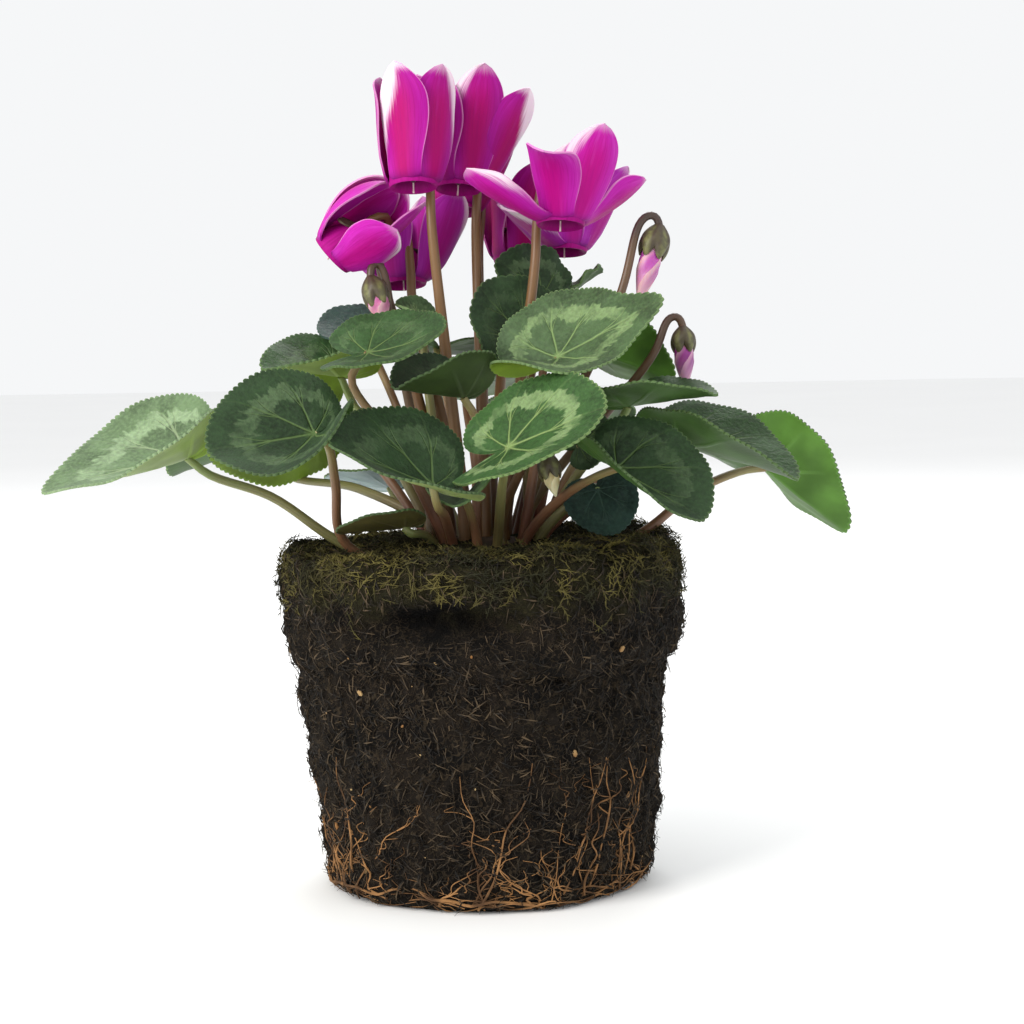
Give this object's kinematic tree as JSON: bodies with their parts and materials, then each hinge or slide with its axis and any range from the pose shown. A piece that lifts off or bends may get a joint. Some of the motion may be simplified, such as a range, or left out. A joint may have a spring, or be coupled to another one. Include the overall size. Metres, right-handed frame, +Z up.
{
  "type": "cyclamen plant with bare root ball",
  "caption": "Small flowering cyclamen out of its pot: mottled heart-shaped leaves, upswept pink flowers and drooping buds over a bare root ball that stands on its flat bottom.",
  "frame": {"origin": "middle of the flat bottom of the root ball", "axes": "+Z up along the axis of the root ball, the front of the plant faces -Y, +X to the right as the front is seen"},
  "size_m": [0.1955, 0.1393, 0.1991],
  "materials": {
    "leaf_blades": "satin",
    "leaf_stalks": "satin",
    "flower_stalks": "satin",
    "petals": "satin",
    "bud_stalks": "satin",
    "bud_petals": "satin",
    "peat": "matte",
    "roots": "matte"
  },
  "bodies": {
    "root": {"leaf_blade_01": "leaf_blades", "leaf_blade_02": "leaf_blades", "leaf_blade_03": "leaf_blades", "leaf_blade_04": "leaf_blades", "leaf_blade_05": "leaf_blades", "leaf_blade_06": "leaf_blades", "leaf_blade_07": "leaf_blades", "leaf_blade_08": "leaf_blades", "leaf_blade_09": "leaf_blades", "leaf_blade_10": "leaf_blades", "leaf_blade_11": "leaf_blades", "leaf_blade_12": "leaf_blades", "leaf_blade_13": "leaf_blades", "leaf_blade_14": "leaf_blades", "leaf_blade_15": "leaf_blades", "leaf_blade_16": "leaf_blades", "leaf_blade_17": "leaf_blades", "leaf_blade_18": "leaf_blades", "leaf_blade_19": "leaf_blades", "leaf_blade_20": "leaf_blades", "leaf_blade_21": "leaf_blades", "leaf_blade_22": "leaf_blades", "leaf_blade_23": "leaf_blades", "leaf_blade_24": "leaf_blades", "leaf_blade_25": "leaf_blades", "leaf_blade_26": "leaf_blades", "leaf_blade_27": "leaf_blades", "leaf_blade_28": "leaf_blades", "leaf_blade_29": "leaf_blades", "leaf_blade_30": "leaf_blades", "leaf_blade_31": "leaf_blades", "flower_1_stalk": "flower_stalks", "flower_1_petals": "petals", "flower_2_stalk": "flower_stalks", "flower_2_petals": "petals", "flower_3_stalk": "flower_stalks", "flower_3_petals": "petals", "flower_4_stalk": "flower_stalks", "flower_4_petals": "petals", "flower_5_stalk": "flower_stalks", "flower_5_petals": "petals", "flower_6_stalk": "flower_stalks", "flower_6_petals": "petals", "flower_7_stalk": "flower_stalks", "flower_7_petals": "petals", "flower_8_stalk": "flower_stalks", "flower_8_petals": "petals", "bud_1_stalk": "bud_stalks", "bud_1_petals": "bud_petals", "bud_2_stalk": "bud_stalks", "bud_2_petals": "bud_petals", "bud_3_stalk": "bud_stalks", "bud_3_petals": "bud_petals", "bud_4_stalk": "bud_stalks", "bud_4_petals": "bud_petals", "tuber_with_leaf_stalks": "leaf_stalks", "root_ball": "peat", "roots": "roots"}
  },
  "joints": []
}
